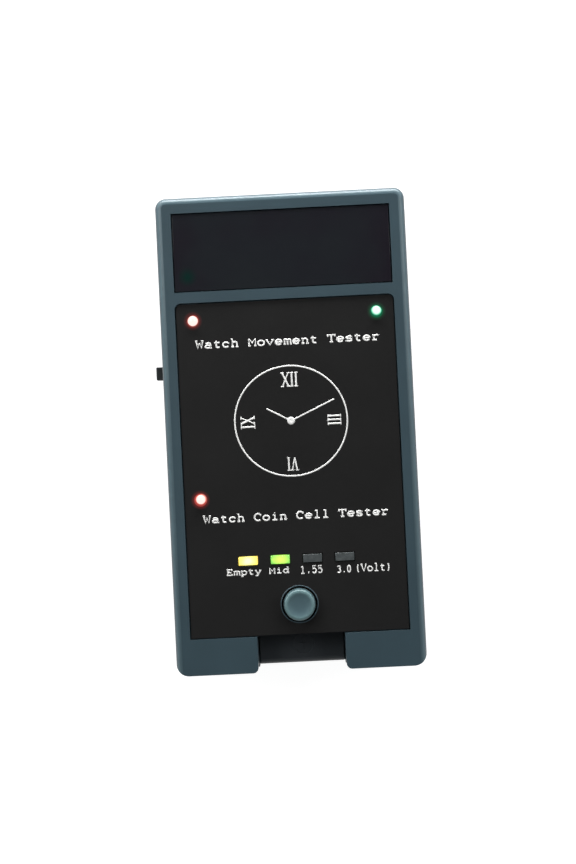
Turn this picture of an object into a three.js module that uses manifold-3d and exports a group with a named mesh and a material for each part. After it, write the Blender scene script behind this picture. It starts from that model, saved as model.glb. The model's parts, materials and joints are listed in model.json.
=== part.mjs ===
// Pocket watch tester with a demagnetizing pad, a watch pulse checker and a button-cell checker.
// Millimetres, +Z up. The case lies on its back: the rear face is z = 0, the face looks up (+Z),
// the demagnetizing window is at the +Y end and the cell slot at the -Y end.

import * as THREE from 'three';
import { mergeVertices } from 'three/addons/utils/BufferGeometryUtils.js';
import Module from 'manifold-3d';

const wasm = await Module();
wasm.setup();

// ---------- driving dimensions ----------
const GAP = 0.3; // air left between touching pieces

const CASE = { w: 65.4, l: 125, h: 27, fillet: 1.7, wall: 2.2, face: 2.5, part: 13 };
const CORNERS = [2.8, 2.8, 3.4, 3.4]; // plan radii: window end right and left, slot end left and right
const FLOOR = 2.4; // rear wall thickness
const IN = { x: CASE.w / 2 - CASE.wall, y: CASE.l / 2 - CASE.wall, top: CASE.h - CASE.face, corner: 2.4 };

const WINDOW = { x: 28.3, y0: 37.85, y1: 58, z0: 25.6, z1: 26.8, openX: 22.6, openY0: 40.6, openY1: 55.4 };
const LABEL = { x: 28.4, y0: -52.8, y1: 34.4, z0: 26.2, z1: 26.7, corner: 1.3 };
const NOTCH = { x: 11.5, cx: 0.2, corner: 1.4, wall: 1.8, relief: 0.9 };

const BOARD = { x: 29.6, y0: -37, y1: 34.5, z0: 20, z1: 21.6, tabX: -22.5, tabY: 44.5 };
const BOARD_SCREWS = [[-27, 24.6], [27, 24.6], [-27, -30.5], [27, -30.5]];
const CASE_SCREWS = [[-26.5, 56.2], [26.5, 56.2], [-26.5, -56.4], [26.5, -56.4]];

const ROUND_LEDS = [
  { name: 'led_power_red', x: -24.1, y: 30, color: 0xff3b28 },
  { name: 'led_pulse_green', x: 23.95, y: 30.3, color: 0x18d070 },
  { name: 'led_cell_red', x: -24.3, y: -16.8, color: 0xff3b28 },
];
// This light sits lower than the others, behind the window.
const PAD_LED = { name: 'led_demag_green', x: -24.9, y: 41.6, color: 0x0f5f3c, drop: 2.7 };
const ROUND_LED = { r: 1.45, flange: 1.9, z0: 22.4, top: 27.8, pitch: 1.28 };

const BAR_LEDS = [
  { name: 'level_led_renew', x: -12.7, color: 0xffe14a },
  { name: 'level_led_low', x: -4.3, color: 0x8df03c },
  { name: 'level_led_mid', x: 4.15, color: 0x54585c },
  { name: 'level_led_full', x: 12.55, color: 0x54585c },
];
const BAR_LED = { y: -33.3, w: 4.9, d: 2.1, z0: 21.9, z1: 26.9, pitch: 2.54 };
const LED_LEG = 0.5;

const WELL = { r: 6.05, floor0: 22.2, floor1: 23.2 }; // cup under the face that the button sinks into
const TAB_SLOT = 1.3; // half width of the slot in the well for the washer's tab
const WASHER = { z0: WELL.floor1 + GAP, z1: WELL.floor1 + GAP + 0.3, r: 4.35 };
const BUTTON = {
  x: 0.2, y: -45.1, r: 4.2, topR: 4, z1: 30.5, hole: 4.65, travel: 2.4, wall: 1.1, edge: 0.5,
};
BUTTON.z0 = WASHER.z1 + GAP + BUTTON.travel; // lower rim of the cap at rest, just under the label's surface
const PIN = { r: 1, headR: 2.6, head0: 29.3, head1: 29.9, tip: 20.6, clip0: 21.5, clip1: 21.9, clipR: 2 };
const PIN_NECK = PIN.r - 0.35;
const SPRING = { r: 2.1, wireR: 0.24, turns: 4 };

const TRAY = {
  x: 14.2, y0: -61.4, wideY0: -52.4, y1: -37.4, top: 17, floor: 1.6, railX: 12, stop: 1.2, lip: 13.5,
};
const CONTACT = { x: 3.5, tailX: 1.5, y0: -50.5, bend: -34.6, z0: TRAY.top - 0.4, z1: TRAY.top - 0.1 };

const SIDE = { y: 17.15, z: 16.4, size: 3.5, out: 2.3, end: -26.6, travel: 1.2 }; // side push button
const COLLAR = { x0: -29.6, x1: -28.8, rim: 0.9 }; // keeps the side button in the case
const SWITCH = { x: -25, w: 10, d: 8, under: 3.3 };

const DOOR = { x: 14.7, tongue: 0.9, y1: 20, t: 1.9, tongueZ0: 0.8, tongueZ1: 1.5 };
const GRIP = { count: 6, x: 8, y0: -54, pitch: 2.4, w: 1.1, depth: 0.5 };
const BATTERY = {
  x: 13, y0: -32, y1: 14.4, z0: 2.8, z1: 19.6, studX: 6.35, studH: 2.2, smallR: 2.8, largeR: 4,
};
const SNAP = { x: 12.4, t: 4.2, halfH: 5.6 };
const CELL_ROOM = { x: 14, y0: -33, y1: 21, wall: 1.2 };

const CHIP = { x: -22, y: 0, w: 6.4, d: 9.6, z0: 16.2, z1: 19.4, legs: 4, pitch: 2.54, row: 3.4 };
const TRANSISTOR = { x: -21, y: -12, r: 2.4, z0: 13.6, z1: 18.2, flat: -13.2, pitch: 1.27 };
const CAPACITOR = {
  x: 22, z: 13.2, r: 5.8, y0: -24, y1: -3, crimpY: -6, crimpDepth: 0.35, leadX: 2.5, leadY: -0.9,
};
const TRIMMER = { x: 20, y: 27, size: 6.4, z0: 15.2, z1: 19.2, rotorR: 2 };
const INDUCTOR = { x: 22, y: 8, coreR: 1.6, r: 4, windR: 3.6, z0: 13, z1: 19.7, flange: 1 };
const PICKUP = {
  y: 2.8, core0: 22.6, core1: 23.6, coreX: 14, coreY: 2, windX: 9, windT: 0.9, saddleW: 2.4, saddleD: 7,
};

const COIL = { y: 48, z0: 8, z1: 24.1, flange: 1.2, x: 22, d: 17.4, hubX: 15, hubD: 9, hubWall: 1.4 };

// ---------- materials ----------
const material = (color, roughness, metalness = 0) =>
  new THREE.MeshStandardMaterial({ color, roughness, metalness });
const casePlastic = material(0x3f5058, 0.45);
const blackPlastic = material(0x1c1f21, 0.5);
const labelFilm = material(0x242424, 0.55);
const smoked = material(0x17181c, 0.12);
const tealPlastic = material(0x456169, 0.4);
const steel = material(0xb8bcc0, 0.3, 1);
const bronze = material(0xc29a5a, 0.35, 1);
const copper = material(0xb5652b, 0.35, 1);
const ferrite = material(0x2b2b2d, 0.6);
const boardGreen = material(0x1f5c37, 0.5);
const bobbinNylon = material(0xd9d2bd, 0.6);
const batteryWrap = material(0x30343a, 0.35);
const capacitorWrap = material(0x1d2b4a, 0.4);
const foam = material(0x3a3a3a, 0.95);
const redWire = material(0xb01818, 0.5);
const blackWire = material(0x161616, 0.5);
const trimmerBlue = material(0x2a5fb0, 0.45);

// ---------- solid helpers ----------
function solid(geometry) {
  const bare = geometry.clone();
  bare.deleteAttribute('normal');
  bare.deleteAttribute('uv');
  const merged = mergeVertices(bare, 1e-4);
  return new wasm.Manifold(new wasm.Mesh({
    numProp: 3,
    vertProperties: new Float32Array(merged.attributes.position.array),
    triVerts: new Uint32Array(merged.index.array),
  }));
}

function geometryOf(body) {
  const mesh = body.getMesh();
  const geometry = new THREE.BufferGeometry();
  geometry.setAttribute('position', new THREE.BufferAttribute(mesh.vertProperties, 3));
  geometry.setIndex(new THREE.BufferAttribute(mesh.triVerts, 1));
  geometry.computeVertexNormals();
  return geometry;
}

// Box between two corners.
function box(x0, x1, y0, y1, z0, z1) {
  const geometry = new THREE.BoxGeometry(x1 - x0, y1 - y0, z1 - z0);
  geometry.translate((x0 + x1) / 2, (y0 + y1) / 2, (z0 + z1) / 2);
  return solid(geometry);
}

// Box centred on x and y.
const post = (x, y, w, d, z0, z1) => box(x - w / 2, x + w / 2, y - d / 2, y + d / 2, z0, z1);

// Upright round bar; r1 is the radius at the top where it tapers.
function rod(x, y, r, z0, z1, sides = 32, r1 = r) {
  const geometry = new THREE.CylinderGeometry(r1, r, z1 - z0, sides);
  geometry.rotateX(Math.PI / 2);
  geometry.translate(x, y, (z0 + z1) / 2);
  return solid(geometry);
}

// Round bar along Y.
function rodY(x, z, r, y0, y1, sides = 16) {
  const geometry = new THREE.CylinderGeometry(r, r, y1 - y0, sides);
  geometry.translate(x, (y0 + y1) / 2, z);
  return solid(geometry);
}

// Rectangle outline whose corners have their own radii: top right, top left, bottom left, bottom right.
function roundedOutline(x0, x1, y0, y1, radii) {
  const [tr, tl, bl, br] = radii;
  const shape = new THREE.Shape();
  shape.moveTo(x0 + bl, y0);
  shape.lineTo(x1 - br, y0);
  if (br > 0) shape.absarc(x1 - br, y0 + br, br, -Math.PI / 2, 0, false);
  shape.lineTo(x1, y1 - tr);
  if (tr > 0) shape.absarc(x1 - tr, y1 - tr, tr, 0, Math.PI / 2, false);
  shape.lineTo(x0 + tl, y1);
  if (tl > 0) shape.absarc(x0 + tl, y1 - tl, tl, Math.PI / 2, Math.PI, false);
  shape.lineTo(x0, y0 + bl);
  if (bl > 0) shape.absarc(x0 + bl, y0 + bl, bl, Math.PI, 1.5 * Math.PI, false);
  return shape;
}

function prism(outline, z0, z1, curveSegments = 8) {
  const geometry = new THREE.ExtrudeGeometry(outline, { depth: z1 - z0, bevelEnabled: false, curveSegments });
  geometry.translate(0, 0, z0);
  return solid(geometry);
}

const roundedBox = (x0, x1, y0, y1, z0, z1, r, segments = 8) =>
  prism(roundedOutline(x0, x1, y0, y1, [r, r, r, r]), z0, z1, segments);

// Plan of the case, drawn smaller by an inset all round; past makes it longer at the slot end.
function casePlan(inset, past = 0) {
  const x = CASE.w / 2 - inset;
  const y = CASE.l / 2 - inset;
  return roundedOutline(-x, x, -y - past, y, CORNERS.map((r) => r - inset));
}

// Flat shape drawn in the Y-Z plane and given a width along X.
function sideProfile(points, x0, x1) {
  const shape = new THREE.Shape(points.map(([y, z]) => new THREE.Vector2(y, z)));
  const geometry = new THREE.ExtrudeGeometry(shape, { depth: x1 - x0, bevelEnabled: false });
  geometry.applyMatrix4(new THREE.Matrix4().makeBasis(
    new THREE.Vector3(0, 1, 0), new THREE.Vector3(0, 0, 1), new THREE.Vector3(1, 0, 0)));
  geometry.translate(x0, 0, 0);
  return solid(geometry);
}

// Round wire along a smooth curve through points.
function wire(points, r, steps, sides = 8) {
  const path = new THREE.CatmullRomCurve3(points.map((p) => new THREE.Vector3(...p)));
  const section = new THREE.Shape();
  section.absarc(0, 0, r, 0, 2 * Math.PI, false);
  return new THREE.ExtrudeGeometry(section, {
    steps, extrudePath: path, bevelEnabled: false, curveSegments: sides,
  });
}

function subtractAll(body, cutters) {
  return cutters.reduce((rest, cutter) => rest.subtract(cutter), body);
}

function addAll(body, others) {
  return others.reduce((whole, other) => whole.add(other), body);
}

const model = new THREE.Group();

function piece(name, geometry, look) {
  const mesh = new THREE.Mesh(geometry, look);
  mesh.name = name;
  model.add(mesh);
  return mesh;
}

// ---------- front shell ----------
// Block with a rounded upper edge on both sides and the window end; the slot end stays crisp.
function filletedBlock() {
  const f = CASE.fillet;
  const past = 4; // the block runs on past the slot end, so its rounded end is trimmed off
  const geometry = new THREE.ExtrudeGeometry(casePlan(f, past), {
    depth: CASE.h - 2 * f, bevelEnabled: true, bevelSize: f, bevelThickness: f, bevelSegments: 7,
    curveSegments: 6,
  });
  geometry.translate(0, 0, f);
  return solid(geometry);
}

function frontShell() {
  const bottom = CASE.part + GAP / 2;
  const plan = prism(casePlan(0), bottom, CASE.h + 1, 10);
  let shell = filletedBlock().intersect(plan);
  shell = shell.subtract(roundedBox(-IN.x, IN.x, -IN.y, IN.y, 0, IN.top, IN.corner));
  const bosses = CASE_SCREWS.map(([x, y]) => rod(x, y, 3, bottom, IN.top + 0.5, 24));
  const standoffs = BOARD_SCREWS.map(([x, y]) => rod(x, y, 2.2, BOARD.z1 + GAP, IN.top + 0.5, 20));
  const well = rod(BUTTON.x, BUTTON.y, WELL.r, WELL.floor0, IN.top + 0.5, 40);
  const notchWalls = [-1, 1].map((side) => post(
    NOTCH.cx + side * (NOTCH.x + NOTCH.wall / 2), (LABEL.y0 - CASE.l / 2 + CASE.wall - 0.2) / 2,
    NOTCH.wall, LABEL.y0 + CASE.l / 2 - CASE.wall + 0.2, bottom, IN.top + 0.5));
  shell = addAll(shell, [...bosses, ...standoffs, well, ...notchWalls]);

  const w = WINDOW;
  const windowCuts = [
    box(-w.x - GAP, w.x + GAP, w.y0 - GAP, w.y1 + GAP, w.z0 - GAP, CASE.h + 1),
    box(-w.openX, w.openX, w.openY0, w.openY1, IN.top - 1, CASE.h),
  ];
  const l = LABEL;
  const labelTop = [l.corner + GAP, l.corner + GAP, 0, 0];
  const labelRecess = prism(
    roundedOutline(-l.x - GAP, l.x + GAP, l.y0 - GAP, l.y1 + GAP, labelTop), l.z0 - GAP, CASE.h + 1, 6);
  const n = NOTCH;
  const notchCuts = [
    box(n.cx - n.x, n.cx + n.x, -CASE.l / 2 - 1, l.y0, bottom - 1, CASE.h + 1),
    ...[-1, 1].map((side) => notchCorner(side, bottom)),
  ];
  const screwHoles = CASE_SCREWS.map(([x, y]) => rod(x, y, 1.5, bottom - 1, 22, 16));
  const boardHoles = BOARD_SCREWS.map(([x, y]) => rod(x, y, 1.2, BOARD.z1, IN.top + 0.1, 12));
  const lightHoles = [
    ...ROUND_LEDS.map((led) => rod(led.x, led.y, ROUND_LED.flange + GAP, IN.top - 1, CASE.h, 24)),
    rod(PAD_LED.x, PAD_LED.y, ROUND_LED.flange + GAP, IN.top - 1, CASE.h - 1, 24),
    ...BAR_LEDS.map((led) => post(led.x, BAR_LED.y, BAR_LED.w + 0.6, BAR_LED.d + 0.6, IN.top - 1, CASE.h)),
  ];
  const wellCuts = [
    rod(BUTTON.x, BUTTON.y, BUTTON.hole, WELL.floor1, CASE.h + 1, 48),
    rod(BUTTON.x, BUTTON.y, PIN.r + GAP, WELL.floor0 - 1, CASE.h, 16),
    box(BUTTON.x - TAB_SLOT, BUTTON.x + TAB_SLOT, BUTTON.y, BUTTON.y + WELL.r + 1, WELL.floor1, IN.top),
  ];
  const half = SIDE.size / 2 + GAP;
  const sideHole = box(
    -CASE.w / 2 - 1, -IN.x + 1, SIDE.y - half, SIDE.y + half, SIDE.z - half, SIDE.z + half);
  return subtractAll(shell, [
    ...windowCuts, labelRecess, ...notchCuts, ...screwHoles, ...boardHoles, ...lightHoles, ...wellCuts,
    sideHole,
  ]);
}

// Rounds the inner corner of a leg at the open end of the notch.
function notchCorner(side, bottom) {
  const r = NOTCH.corner;
  const x = NOTCH.cx + side * NOTCH.x;
  const y = -CASE.l / 2;
  const square = post(x + side * (r / 2), y + r / 2, r + 0.02, r + 0.02, bottom - 1, CASE.h + 1);
  return square.subtract(rod(x + side * r, y + r, r, bottom - 2, CASE.h + 2, 32));
}

piece('front_shell', geometryOf(frontShell()), casePlastic);

// ---------- rear shell and battery door ----------
function rearShell() {
  const top = CASE.part - GAP / 2;
  const edge = 1; // small rounding of the rear edge
  const blank = new THREE.ExtrudeGeometry(casePlan(edge), {
    depth: CASE.h, bevelEnabled: true, bevelSize: edge, bevelThickness: edge, bevelSegments: 3,
    curveSegments: 6,
  });
  blank.translate(0, 0, edge);
  let shell = solid(blank).intersect(box(-50, 50, -80, 80, 0, top));
  shell = shell.subtract(roundedBox(-IN.x, IN.x, -IN.y, IN.y, FLOOR, top + 1, IN.corner));

  const room = CELL_ROOM;
  const out = room.wall;
  const roomWalls = roundedBox(
    -room.x - out, room.x + out, room.y0 - out, room.y1 + out, FLOOR - 0.5, top, 1.5, 4)
    .subtract(box(-room.x, room.x, room.y0, room.y1, FLOOR - 1, top + 1));
  const wireGate = box(-6, 6, room.y1 - 1, room.y1 + room.wall + 1, 7, top + 1);
  const apronFloor = box(-18, 18, -IN.y - 0.5, room.y0 - 0.5, FLOOR - 0.5, 3.4);
  const bosses = CASE_SCREWS.map(([x, y]) => rod(x, y, 3.4, FLOOR - 0.5, CASE.part - GAP / 2, 24));
  const cradle = [-15, 15].map((x) => post(x, COIL.y, 2, 15, FLOOR - 0.5, COIL.z0 - GAP));
  const traySupport = [-8, 8].map((x) => post(x, -50, 2, 18, FLOOR - 0.5, top));
  shell = addAll(shell, [roomWalls.subtract(wireGate), apronFloor, ...bosses, ...cradle, ...traySupport]);

  const d = DOOR;
  const doorEnd = d.y1 + GAP;
  const doorSlot = box(-d.x - GAP, d.x + GAP, -CASE.l / 2 - 1, doorEnd, -1, d.t + GAP);
  const grooveX = d.x + d.tongue + GAP;
  const groove = box(-grooveX, grooveX, -CASE.l / 2 - 1, doorEnd, d.tongueZ0 - GAP, d.tongueZ1 + GAP);
  const access = box(-room.x, room.x, room.y0, doorEnd, -1, FLOOR + 0.1);
  const counterbores = CASE_SCREWS.map(([x, y]) => rod(x, y, 2.9, -1, 2.2, 24));
  const screwHoles = CASE_SCREWS.map(([x, y]) => rod(x, y, 1.5, 0, CASE.part, 16));
  const fingerRelief = box(
    NOTCH.cx - NOTCH.x, NOTCH.cx + NOTCH.x, -CASE.l / 2 - 1, -CASE.l / 2 + NOTCH.relief, 3.2, top + 1);
  return subtractAll(shell, [doorSlot, groove, access, ...counterbores, ...screwHoles, fingerRelief]);
}

function batteryDoor() {
  const d = DOOR;
  const front = -CASE.l / 2 + 0.2;
  const plate = box(-d.x, d.x, front, d.y1, 0, d.t);
  const tongues = box(-d.x - d.tongue, d.x + d.tongue, -CASE.l / 2 + 2, d.y1, d.tongueZ0, d.tongueZ1);
  const grips = [];
  for (let i = 0; i < GRIP.count; i += 1) {
    const y = GRIP.y0 + i * GRIP.pitch;
    grips.push(box(-GRIP.x, GRIP.x, y, y + GRIP.w, -1, GRIP.depth));
  }
  return subtractAll(plate.add(tongues), grips);
}

piece('rear_shell', geometryOf(rearShell()), casePlastic);
piece('battery_door', geometryOf(batteryDoor()), casePlastic);

// ---------- window, label and lights ----------
const windowSheet = box(-WINDOW.x, WINDOW.x, WINDOW.y0, WINDOW.y1, WINDOW.z0, WINDOW.z1);
piece('demag_window', geometryOf(windowSheet), smoked);

function faceLabel() {
  const l = LABEL;
  const sheet = prism(roundedOutline(-l.x, l.x, l.y0, l.y1, [l.corner, l.corner, 0, 0]), l.z0, l.z1, 6);
  return subtractAll(sheet, [
    ...ROUND_LEDS.map((led) => rod(led.x, led.y, ROUND_LED.r + 0.25, l.z0 - 1, l.z1 + 1, 32)),
    ...BAR_LEDS.map((led) => post(led.x, BAR_LED.y, BAR_LED.w + 0.4, BAR_LED.d + 0.4, l.z0 - 1, l.z1 + 1)),
    rod(BUTTON.x, BUTTON.y, BUTTON.hole, l.z0 - 1, l.z1 + 1, 48),
  ]);
}

piece('face_label', geometryOf(faceLabel()), labelFilm);

// Two square legs that go through the board.
function ledLegs(x, y, pitch, top) {
  return [-1, 1].map((s) => post(x + (s * pitch) / 2, y, LED_LEG, LED_LEG, BOARD.z0 - 0.6, top));
}

// Round light: flange, straight lens and a domed top turned in one profile, with two legs.
function roundLed(led) {
  const { r, flange, z0 } = ROUND_LED;
  const top = ROUND_LED.top - (led.drop ?? 0);
  const profile = [[0, z0], [flange, z0], [flange, z0 + 1], [r, z0 + 1]];
  const domeSteps = 5;
  for (let i = 0; i < domeSteps; i += 1) {
    const a = (i / domeSteps) * (Math.PI / 2);
    profile.push([r * Math.cos(a), top - r + r * Math.sin(a)]);
  }
  profile.push([0, top]);
  const lens = new THREE.LatheGeometry(profile.map(([x, y]) => new THREE.Vector2(x, y)), 20);
  lens.rotateX(Math.PI / 2);
  lens.translate(led.x, led.y, 0);
  return addAll(solid(lens), ledLegs(led.x, led.y, ROUND_LED.pitch, z0 + 0.5));
}

function barLed(led) {
  const lens = post(led.x, BAR_LED.y, BAR_LED.w, BAR_LED.d, BAR_LED.z0, BAR_LED.z1);
  return addAll(lens, ledLegs(led.x, BAR_LED.y, BAR_LED.pitch, BAR_LED.z0 + 0.5));
}

for (const led of [...ROUND_LEDS, PAD_LED]) {
  piece(led.name, geometryOf(roundLed(led)), material(led.color, 0.2));
}
for (const led of BAR_LEDS) {
  piece(led.name, geometryOf(barLed(led)), material(led.color, 0.3));
}

// ---------- test button, pin, clip, spring and contact washer ----------
function testButton() {
  const b = BUTTON;
  const outer = [
    [0, b.z0], [b.r, b.z0], [b.topR, b.z1 - b.edge], [b.topR - 0.15, b.z1 - 0.15], [b.topR - b.edge, b.z1],
    [0, b.z1],
  ].map(([x, y]) => new THREE.Vector2(x, y));
  const cap = new THREE.LatheGeometry(outer, 48);
  cap.rotateX(Math.PI / 2);
  cap.translate(b.x, b.y, 0);
  const hollow = rod(b.x, b.y, b.r - b.wall, b.z0 - 1, PIN.head0 - GAP - 0.8, 32);
  const headRoom = rod(b.x, b.y, PIN.headR + GAP, PIN.head0 - GAP - 0.9, PIN.head1 + GAP, 24);
  return subtractAll(solid(cap), [hollow, headRoom]);
}

function testPin() {
  const p = PIN;
  const shaft = rod(BUTTON.x, BUTTON.y, p.r, p.tip + 0.5, p.head1 - 0.2, 16);
  const tip = rod(BUTTON.x, BUTTON.y, 0.5, p.tip, p.tip + 0.5, 16, p.r);
  const head = rod(BUTTON.x, BUTTON.y, p.headR, p.head0, p.head1, 24);
  const neck = rod(BUTTON.x, BUTTON.y, p.r + 1, p.clip0 - GAP, p.clip1 + GAP, 16)
    .subtract(rod(BUTTON.x, BUTTON.y, PIN_NECK, p.clip0 - 1, p.clip1 + 1, 16));
  return addAll(shaft, [tip, head]).subtract(neck);
}

// Retaining clip: a flat ring with one open side, seated in the neck of the pin.
function pinClip() {
  const p = PIN;
  return subtractAll(rod(BUTTON.x, BUTTON.y, p.clipR, p.clip0, p.clip1, 24), [
    rod(BUTTON.x, BUTTON.y, PIN_NECK + 0.2, p.clip0 - 1, p.clip1 + 1, 16),
    post(BUTTON.x, BUTTON.y - 2, 1.1, 4, p.clip0 - 1, p.clip1 + 1),
  ]);
}

// Ring under the spring, with a tab that runs out through the wall of the well to the board.
function springWasher() {
  const { z0, z1, r } = WASHER;
  const ring = rod(BUTTON.x, BUTTON.y, r, z0, z1, 40);
  const tabStart = BUTTON.y + 3;
  const tabEnd = BOARD.y0 + 3;
  const tabW = 2 * (TAB_SLOT - 0.4);
  const tab = post(BUTTON.x, (tabStart + tabEnd) / 2, tabW, tabEnd - tabStart, z0, z1);
  const foot = post(BUTTON.x, tabEnd - 0.2, tabW, 0.4, BOARD.z1 + GAP, z1);
  return addAll(ring, [tab, foot]).subtract(rod(BUTTON.x, BUTTON.y, PIN.r + 0.5, z0 - 1, z1 + 1, 16));
}

function returnSpring() {
  const { r, wireR, turns } = SPRING;
  const z0 = WASHER.z1 + GAP;
  const z1 = PIN.head0 - 1.15;
  const points = [];
  const perTurn = 12;
  for (let i = 0; i <= turns * perTurn; i += 1) {
    const a = (i / perTurn) * 2 * Math.PI;
    const t = i / (turns * perTurn);
    const z = z0 + wireR + t * (z1 - z0 - 2 * wireR);
    points.push([BUTTON.x + r * Math.cos(a), BUTTON.y + r * Math.sin(a), z]);
  }
  return wire(points, wireR, turns * perTurn, 3);
}

piece('test_button', geometryOf(testButton()), tealPlastic);
piece('test_pin', geometryOf(testPin()), bronze);
piece('pin_clip', geometryOf(pinClip()), steel);
piece('spring_contact_washer', geometryOf(springWasher()), bronze);
piece('return_spring', returnSpring(), steel);

// ---------- cell tray and its contact strip ----------
function cellTray() {
  const t = TRAY;
  const under = t.top - t.floor;
  const floor = sideProfile([
    [t.y0, t.lip], [t.y0 + 1.6, t.lip], [t.y0 + 1.6, under], [t.y1, under], [t.y1, t.top],
    [t.y0 + 1.4, t.top], [t.y0 + 0.7, t.top - 0.2], [t.y0 + 0.2, t.top - 0.7], [t.y0, t.top - 1.4],
  ], NOTCH.cx - NOTCH.x + GAP, NOTCH.cx + NOTCH.x - GAP);
  const wide = box(-t.x, t.x, t.wideY0, t.y1, under, t.top);
  const rails = [-1, 1].map((s) => post(
    (s * (t.railX + t.x)) / 2, (t.wideY0 + t.y1) / 2, t.x - t.railX, t.y1 - t.wideY0,
    under + 0.5, IN.top - GAP));
  const stop = box(-t.x, t.x, t.y1 - t.stop, t.y1, under + 0.5, IN.top - GAP);
  const tray = addAll(floor, [wide, ...rails, stop]);
  const c = CONTACT;
  return subtractAll(tray, [
    box(-c.x - GAP, c.x + GAP, c.y0 - GAP, t.y1 + 1, c.z0 - GAP, t.top + GAP + 0.1),
    post(BUTTON.x, t.y1, 2.6, 6, WELL.floor1 - 0.2, IN.top),
  ]);
}

function cellContact() {
  const c = CONTACT;
  return addAll(box(-c.x, c.x, c.y0, TRAY.y1 + 0.5, c.z0, c.z1), [
    box(-c.tailX, c.tailX, TRAY.y1, c.bend, c.z0, c.z1),
    box(-c.tailX, c.tailX, c.bend - (c.z1 - c.z0), c.bend, c.z0, BOARD.z0 - GAP),
  ]);
}

piece('cell_tray', geometryOf(cellTray()), blackPlastic);
piece('cell_contact_strip', geometryOf(cellContact()), bronze);

// ---------- side push button and its switch ----------
function sideButton() {
  const half = SIDE.size / 2;
  const outer = -CASE.w / 2 - SIDE.out;
  const stem = box(outer, SIDE.end, SIDE.y - half, SIDE.y + half, SIDE.z - half, SIDE.z + half);
  const rim = half + COLLAR.rim;
  const collar = box(COLLAR.x0, COLLAR.x1, SIDE.y - rim, SIDE.y + rim, SIDE.z - rim, SIDE.z + rim);
  return stem.add(collar);
}

function switchHousing() {
  const top = BOARD.z0 - GAP;
  const half = SIDE.size / 2 + GAP;
  const mouth = SWITCH.x - SWITCH.w / 2 - 1;
  const body = post(SWITCH.x, SIDE.y, SWITCH.w, SWITCH.d, SIDE.z - SWITCH.under, top);
  const boreEnd = SIDE.end + SIDE.travel + GAP;
  const bore = box(mouth, boreEnd, SIDE.y - half, SIDE.y + half, SIDE.z - half, SIDE.z + half);
  const room = half + COLLAR.rim;
  const collarEnd = COLLAR.x1 + SIDE.travel + GAP;
  const collarRoom = box(
    mouth, collarEnd, SIDE.y - room, SIDE.y + room, SIDE.z - room + GAP, SIDE.z + room);
  return subtractAll(body, [bore, collarRoom]);
}

function switchCover() {
  const sheet = 0.4;
  const floor = SIDE.z - SWITCH.under - GAP;
  const inner = post(SWITCH.x, SIDE.y, SWITCH.w, SWITCH.d + 2 * GAP, floor, CASE.h);
  const outerDepth = SWITCH.d + 2 * (GAP + sheet);
  const outer = post(SWITCH.x, SIDE.y, SWITCH.w - 1, outerDepth, floor - sheet, SIDE.z + 1);
  return outer.subtract(inner);
}

piece('side_button', geometryOf(sideButton()), blackPlastic);
piece('side_switch_housing', geometryOf(switchHousing()), blackPlastic);
piece('side_switch_cover', geometryOf(switchCover()), steel);

// ---------- circuit board, its screws and parts ----------
function mainBoard() {
  const b = BOARD;
  const legSpots = [
    ...[...ROUND_LEDS, PAD_LED].map((led) => [led.x, led.y, ROUND_LED.pitch / 2]),
    ...BAR_LEDS.map((led) => [led.x, BAR_LED.y, BAR_LED.pitch / 2]),
  ];
  const hole = LED_LEG + 2 * GAP;
  const ledHoles = legSpots.flatMap(([x, y, reach]) => [-reach, reach].map(
    (dx) => post(x + dx, y, hole, hole, b.z0 - 1, b.z1 + 1)));
  const screwHoles = BOARD_SCREWS.map(([x, y]) => rod(x, y, 1.3, b.z0 - 1, b.z1 + 1, 16));
  const sheet = roundedBox(-b.x, b.x, b.y0, b.y1, b.z0, b.z1, 1, 3);
  // The tab carries the light behind the window.
  const padTab = roundedBox(-b.x, b.tabX, b.y1 - 4, b.tabY, b.z0, b.z1, 1, 3);
  return subtractAll(sheet.add(padTab), [...ledHoles, ...screwHoles]);
}

function panScrew(x, y, z0, headR, headH, shankR, length) {
  const drive = post(x, y, headR * 1.2, 0.5, z0 - 1, z0 + headH * 0.5)
    .add(post(x, y, 0.5, headR * 1.2, z0 - 1, z0 + headH * 0.5));
  return rod(x, y, headR * 0.8, z0, z0 + headH * 0.4, 20, headR)
    .add(rod(x, y, headR, z0 + headH * 0.4, z0 + headH, 20))
    .add(rod(x, y, shankR, z0 + headH * 0.9, z0 + headH + length, 10))
    .subtract(drive);
}

piece('main_board', geometryOf(mainBoard()), boardGreen);
BOARD_SCREWS.forEach(([x, y], i) => {
  piece(`board_screw_${i + 1}`, geometryOf(panScrew(x, y, BOARD.z0 - GAP - 1.4, 2, 1.4, 0.9, 4)), steel);
});
CASE_SCREWS.forEach(([x, y], i) => {
  piece(`case_screw_${i + 1}`, geometryOf(panScrew(x, y, 0.3, 2.5, 1.6, 1.2, 18)), steel);
});

// Chip or small part with straight legs that end just under the board.
function leggedPart(body, legs) {
  return addAll(body, legs.map(([x, y, z]) => post(x, y, 0.5, 0.5, z, BOARD.z0 - GAP)));
}

function controlChip() {
  const c = CHIP;
  const rows = Array.from({ length: c.legs }, (_, i) => c.y + (i - (c.legs - 1) / 2) * c.pitch);
  const legs = [-1, 1].flatMap((s) => rows.map((y) => [c.x + s * c.row, y, c.z0 + 1.2]));
  const shoulders = rows.map((y) => post(c.x, y, 2 * c.row + 0.5, 0.5, c.z0 + 1, c.z0 + 1.5));
  return leggedPart(addAll(post(c.x, c.y, c.w, c.d, c.z0, c.z1), shoulders), legs);
}

function driverTransistor() {
  const t = TRANSISTOR;
  const round = rod(t.x, t.y, t.r, t.z0, t.z1, 24)
    .subtract(box(t.x - t.r - 1, t.x + t.r + 1, t.y - t.r - 1, t.flat, t.z0 - 1, t.z1 + 1));
  return leggedPart(round, [-t.pitch, 0, t.pitch].map((dx) => [t.x + dx, t.y, t.z1 - 0.7]));
}

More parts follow.
